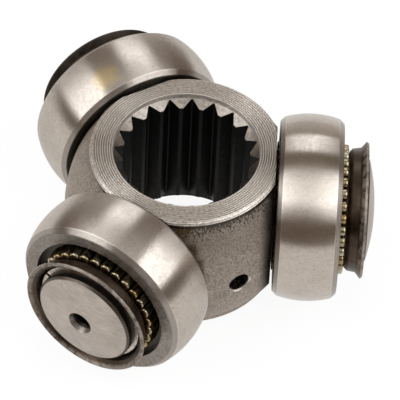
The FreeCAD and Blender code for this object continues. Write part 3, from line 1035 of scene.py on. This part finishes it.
# %% Finish: ground roller
OIL_FILMS = {2: (-18.3, 17.8, 18.9)}
crown_middle = (roller_low.x + roller_high.x) / 2 / MM
crown_half = (roller_high.x - roller_low.x) / 2 / MM - BEVEL_WIDTH / MM


def roller_finish(leg):
    """Satin ground steel, with an oil film where OIL_FILMS says."""
    steel = Steel(f"Ground roller {leg}", leg_axis[leg], grain=(0.7, 2.2))
    cloud = steel.clouds(6.0, 1.6)
    specks = steel.specks(0.45, 0.26)
    sparks = steel.specks(0.4, 0.25, shift=(9.0, 23.0, 5.0))
    steel.shade = mix(cloud * 0.55 + steel.tone * 0.45, (0.50, 0.43, 0.37), (0.74, 0.66, 0.58))
    steel.tint(specks, 0.55, (0.16, 0.13, 0.10))
    steel.tint(sparks, 0.5, (0.95, 0.88, 0.79))
    from_middle = abs(steel.along - crown_middle)
    beside_crown = from_middle.ramp(crown_half - 0.05, crown_half + 0.05)
    steel.tint(beside_crown, 0.6, (0.26, 0.225, 0.195))
    face_start = crown_half + BEVEL_WIDTH / MM - 0.2
    face = from_middle.ramp(face_start, face_start + 0.1)
    steel.tint(face * steel.tone, 0.8, (0.10, 0.085, 0.07))
    # Painted shade: the inner face towards the hub is nearly black.
    shaded_inner_face = steel.along.ramp(roller_low.x / MM + 0.25, roller_low.x / MM + 0.1)
    steel.tint(shaded_inner_face, 0.85, (0.02, 0.016, 0.012))
    corner = steel.band(from_middle, crown_half, 0.14)
    steel.tint(corner, 0.4, (0.90, 0.82, 0.74))
    # The recess is black with oil and painted shade.
    recess = steel.radius.ramp(RECESS_RADIUS / MM + 0.15, RECESS_RADIUS / MM)
    steel.tint(recess, 0.93, (0.022, 0.017, 0.010))
    if leg in OIL_FILMS:
        film = steel.stain(OIL_FILMS[leg], 3.8, 0.8)
        steel.tint(film, 0.85, (0.92, 0.72, 0.42))
    steel.grooves(0.95)
    return steel.done(steel.tone.ramp(*TONES, 0.35, 0.28), 0.004, steel.height - specks)


def dress(pieces, slot, finish):
    """Give each leg's piece its own finish, and print the slot it belongs to."""
    for leg, piece in pieces.items():
        piece.data.materials.append(finish(leg))
    print(slot, "on", [piece.name for piece in pieces.values()])


dress(rollers, "ground_steel", roller_finish)

# %% [markdown]
# ### Ground trunnions
#
# Only a trunnion's end is seen. It was ground across, so fine slanting scratches cover it:
# noise, stretched one way. The end's edge, the land behind it and the centre drilling are
# brown with old oil, and deep in the drilling the black is painted shade.

# %% Finish: trunnion
SCRATCH_SLANT = 0.1
ACROSS_SCRATCH = 4.5
ALONG_SCRATCH = 0.3


def trunnion_finish(leg):
    """Ground pin with fine slanting scratches across its end."""
    steel = Steel(f"Ground trunnion {leg}", leg_axis[leg], grain=(0.8, 2.0))
    cloud = steel.clouds(5.0, 1.6)
    slant = steel.across * SCRATCH_SLANT + steel.up
    stretched = result(steel.tree, "ShaderNodeCombineXYZ", {
        0: slant * ACROSS_SCRATCH, 1: steel.across * ALONG_SCRATCH})
    scratches = noise(stretched, 1.0, detail=4.0, roughness=0.7)
    lines = scratches.ramp(0.38, 0.62)
    steel.shade = mix(cloud * 0.55 + lines * 0.45, (0.36, 0.305, 0.26), (0.70, 0.615, 0.54))
    dirt = steel.tone.ramp(0.75, 0.95)
    steel.tint(dirt, 0.4, (0.20, 0.16, 0.13))
    end_edge = (LAND_RADIUS - TIP_BEVEL) / MM
    edge = steel.radius.ramp(end_edge - 0.1, end_edge + 0.15)
    steel.tint(edge, 0.85, (0.045, 0.034, 0.024))
    mouth = DRILL_MOUTH / MM
    drilled = steel.radius.ramp(mouth + 0.05, mouth - 0.15)
    steel.tint(drilled, 0.6, (0.06, 0.05, 0.042))
    # Painted shade deep in the centre drilling.
    shaded_core = steel.radius.ramp(mouth - 0.45, mouth - 0.7)
    steel.tint(shaded_core, 0.93, OIL_AND_SHADE_BLACK)
    return steel.done(scratches.ramp(0.3, 0.7, 0.32, 0.44), 0.012, scratches)


dress(trunnions, "ground_steel", trunnion_finish)

# %% [markdown]
# ### Oiled needles
#
# The needles are polished and wet with golden oil, some more than others. The middle of each
# flat end is painted dark, a painted reflection, and painted shade darkens the needles deeper
# in and the gaps between them. To find that middle, the angle around the trunnion is counted
# in needle steps, and what rounding leaves over tells how far away the nearest needle is.

# %% Finish: needles
def needle_finish(leg):
    """Polished needles under golden oil."""
    steel = Steel(f"Oiled needles {leg}", leg_axis[leg], grain=(2.0, 3.0))
    step = FULL_TURN / NEEDLE_COUNT
    count = steel.angle / step
    nearest = calculate("ROUND", count)
    left_over = count - nearest
    from_middle = length_of(left_over * step * steel.radius, steel.radius - needle_pitch / MM)
    own = result(steel.tree, "ShaderNodeTexWhiteNoise", {"W": nearest}, "Value", noise_dimensions="1D")
    dull = mix(own, (0.20, 0.125, 0.036), (0.34, 0.27, 0.12))
    bright = mix(own, (0.58, 0.40, 0.17), (0.62, 0.57, 0.44))
    steel.shade = mix(steel.tone, dull, bright)
    needle_end = needle_high.x / MM
    # Painted dark reflection in the middle of each flat end.
    at_end = steel.along.ramp(needle_end - 0.25, needle_end - 0.1)
    middle = from_middle.ramp(0.85, 0.5)
    steel.tint(at_end * middle, 0.5, (0.08, 0.052, 0.02))
    # Painted shade deeper in the row.
    deeper_shade = steel.along.ramp(needle_end - 1.4, needle_end - 2.6)
    steel.tint(deeper_shade, 0.5, (0.05, 0.04, 0.02))
    # Painted shade in the gaps between the needles.
    between = abs(left_over).ramp(0.36, 0.47)
    steel.tint(between, 0.85, (0.02, 0.014, 0.006))
    steel.shader.inputs["Coat Weight"].default_value = 0.3
    steel.shader.inputs["Coat Roughness"].default_value = 0.12
    return steel.done(steel.tone.ramp(*TONES, 0.20, 0.36), 0.012)


dress(needles, "needle_steel", needle_finish)

# %% [markdown]
# ### Dark cups and spring rings
#
# The cups are dark brown, heat-treated sheet. Handling rubbed the lips of two of them grey,
# most of all along the outer edge. The rear one is hardly rubbed, and painted nearly black
# as shade. The rings are light spring steel.

# %% Finish: dark cups
# How far each cup's lip is worn grey; a low share also paints the cup darker as shade.
RUBBED_AND_UNSHADED = {1: 1.0, 2: 0.1, 3: 1.0}


def cup_finish(leg):
    """Brown, heat-treated sheet; a share wears its lip to grey steel, and a low share paints the cup
    darker as shade.
    """
    rubbed_and_unshaded = RUBBED_AND_UNSHADED[leg]
    steel = Steel(f"Dark pressed cup {leg}", leg_axis[leg], grain=(1.3, 1.6))
    cloud = steel.clouds(4.0, 2.2)
    steel.shade = mix(cloud, (0.044, 0.029, 0.019), (0.135, 0.096, 0.070))
    # Painted shade: a cup with a low share is mixed towards black.
    steel.shade = mix(0.5 * (1 - rubbed_and_unshaded), steel.shade, OIL_AND_SHADE_BLACK)
    worn = steel.radius.ramp(13.4, 14.1) * steel.tone.ramp(0.3, 0.65, 0.25, 1.0)
    steel.tint(worn, 0.72 * rubbed_and_unshaded, (0.60, 0.52, 0.45))
    edge = steel.radius.ramp(14.5, 14.8)
    steel.tint(edge * steel.tone, 0.7 * rubbed_and_unshaded, WORN_STEEL)
    steel.grooves(0.6)
    return steel.done(cloud.ramp(*TONES, 0.34, 0.46) + worn * 0.3, 0.01)


dress(cups, "dark_steel", cup_finish)


# %% Finish: spring rings
def ring_finish(leg):
    """Light grey spring steel."""
    steel = Steel(f"Spring ring {leg}", leg_axis[leg], grain=(0.8, 3.0))
    steel.shade = mix(steel.tone, (0.40, 0.335, 0.275), (0.92, 0.83, 0.73))
    return steel.done(0.38, 0.012)


dress(rings, "spring_steel", ring_finish)

# %% [markdown]
# ## Floor
#
# The object rests on its three rollers on a plain pale table. To the camera and in
# reflections the table glows white of itself, and a small part of its brightness comes from
# real light, so that the soft shadow under the object stays. All other light meets a plain
# white table, which throws it up again at the part's underside.

# %% Floor
FLOOR_SIZE = 3.0
GLOW = 0.92
REFLECTED_GLOW = 0.70
TABLE_WHITE = 0.8
SHADOW_SHARE = 0.11
bpy.ops.mesh.primitive_plane_add(size=FLOOR_SIZE, location=(0, 0, cad_low.z))
floor = bpy.context.object
floor.name = "floor"
paper = bpy.data.materials.new("White table")
paper.use_nodes = True
tree = paper.node_tree
tree.nodes.clear()
seen = results(node(tree, "ShaderNodeLightPath"))
direct = calculate("MAXIMUM", seen["Is Camera Ray"], seen["Is Transmission Ray"])
shown = calculate("MAXIMUM", direct, seen["Is Glossy Ray"])
strength = result(tree, "ShaderNodeMapRange", {
    "Value": direct, "To Min": REFLECTED_GLOW, "To Max": GLOW})
lit = result(tree, "ShaderNodeBsdfDiffuse", {"Color": (TABLE_WHITE,) * 3})
faint = result(tree, "ShaderNodeBsdfDiffuse", {"Color": (SHADOW_SHARE,) * 3})
glow = result(tree, "ShaderNodeEmission", {"Color": (1, 1, 1), "Strength": strength})
white = result(tree, "ShaderNodeAddShader", {0: faint, 1: glow})
choice = result(tree, "ShaderNodeMixShader", {0: shown, 1: lit, 2: white})
node(tree, "ShaderNodeOutputMaterial", {"Surface": choice})
floor.data.materials.append(paper)
print("floor at", round(cad_low.z / MM, 2), "mm")

# %% [markdown]
# ## Light
#
# Satin steel shows its surroundings, so the light is three soft boxes around the part,
# about 40 degrees up: left, right and behind. Above, a pale ceiling glows over the front
# half and a weaker one over the back. Low down the studio is dark, but for a soft backdrop
# behind. The dark gaps make the rollers look round: each box shows as a bright band on a
# roller, with a dark band beside it.

# %% Soft boxes
LAMP_DISTANCE = 0.7
POWER_PER_AREA = 4
DAYLIGHT = (0.95, 1.0, 1.05)


def direction(azimuth, elevation):
    """A way out from the joint's centre; an azimuth of -90 degrees lies in front of the hub."""
    around = math.radians(azimuth)
    up = math.radians(elevation)
    return Vector((math.cos(around) * math.cos(up), math.sin(around) * math.cos(up), math.sin(up)))


def soft_box(name, azimuth, elevation, width, height, brightness):
    """A rectangular lamp that faces the object."""
    lamp = bpy.data.lights.new(name, "AREA")
    lamp.shape = "RECTANGLE"
    lamp.size = width
    lamp.size_y = height
    lamp.energy = brightness * POWER_PER_AREA * width * height
    lamp.color = DAYLIGHT
    out = direction(azimuth, elevation)
    box = bpy.data.objects.new(name, lamp)
    box.location = out * LAMP_DISTANCE
    box.rotation_mode = "QUATERNION"
    box.rotation_quaternion = out.to_track_quat("Z", "Y")
    bpy.context.scene.collection.objects.link(box)
    return box


lamps = [soft_box("soft box left", -164, 38, 0.58, 0.54, 1.95),
         soft_box("soft box right", -21, 41, 0.66, 0.48, 2.1),
         soft_box("soft box behind", 88, 44, 0.34, 0.34, 1.75)]
print(len(lamps), "soft boxes")

# %% The studio around it
world = bpy.data.worlds.new("Studio")
bpy.context.scene.world = world
world.use_nodes = True
tree = world.node_tree
tree.nodes.clear()
way = results(node(tree, "ShaderNodeSeparateXYZ", {
    0: result(tree, "ShaderNodeTexCoord", output="Generated")}))
ceiling = way["Z"].ramp(0.58, 0.95)
rear = way["Y"].ramp(-0.1, 0.35)
above = mix(rear, (0.76, 0.75, 0.74), (0.23, 0.20, 0.17))
backdrop = way["Y"].ramp(0.80, 0.97)
low = mix(backdrop, (0.15, 0.115, 0.09), (0.52, 0.49, 0.46))
studio = mix(ceiling, low, above)
seen = results(node(tree, "ShaderNodeLightPath"))
direct = calculate("MAXIMUM", seen["Is Camera Ray"], seen["Is Transmission Ray"])
sky = result(tree, "ShaderNodeBackground", {"Color": mix(direct, studio, (1, 1, 1)), "Strength": 1.0})
node(tree, "ShaderNodeOutputWorld", {"Surface": sky})
bpy.context.scene.view_settings.view_transform = "Standard"
print("studio ready")

# %% [markdown]
# ## Camera
#
# A long lens about a metre away looks down on the part from 50 degrees, a touch from the
# right and tilted by under three degrees. Long lenses keep the rollers' proportions true.

# %% Camera
CAMERA_AZIMUTH = -89.516
CAMERA_ELEVATION = 49.832
CAMERA_ROLL = math.radians(2.753)
CAMERA_DISTANCE = 982.66 * MM
AIM_RIGHT = 3.3715 * MM
AIM_UP = 0.091 * MM
SENSOR = 36.0
LENS = 409.75
back = direction(CAMERA_AZIMUTH, CAMERA_ELEVATION)
level_right = direction(CAMERA_AZIMUTH + 90, 0)
level_up = back.cross(level_right)
right = level_right * math.cos(CAMERA_ROLL) + level_up * math.sin(CAMERA_ROLL)
up = level_up * math.cos(CAMERA_ROLL) - level_right * math.sin(CAMERA_ROLL)
lens = bpy.data.cameras.new("camera")
lens.lens = LENS
lens.sensor_width = SENSOR
lens.clip_start = 0.05
camera = bpy.data.objects.new("camera", lens)
camera.rotation_mode = "QUATERNION"
camera.rotation_quaternion = Matrix((right, up, back)).transposed().to_quaternion()
camera.location = right * AIM_RIGHT + up * AIM_UP + back * CAMERA_DISTANCE
bpy.context.scene.collection.objects.link(camera)
bpy.context.scene.camera = camera
print("camera at", [round(x / MM) for x in camera.location], "mm")

# %% [markdown]
# ## Last step
#
# The view layer is brought up to date.

# %% Bring the view layer up to date
bpy.context.view_layer.update()
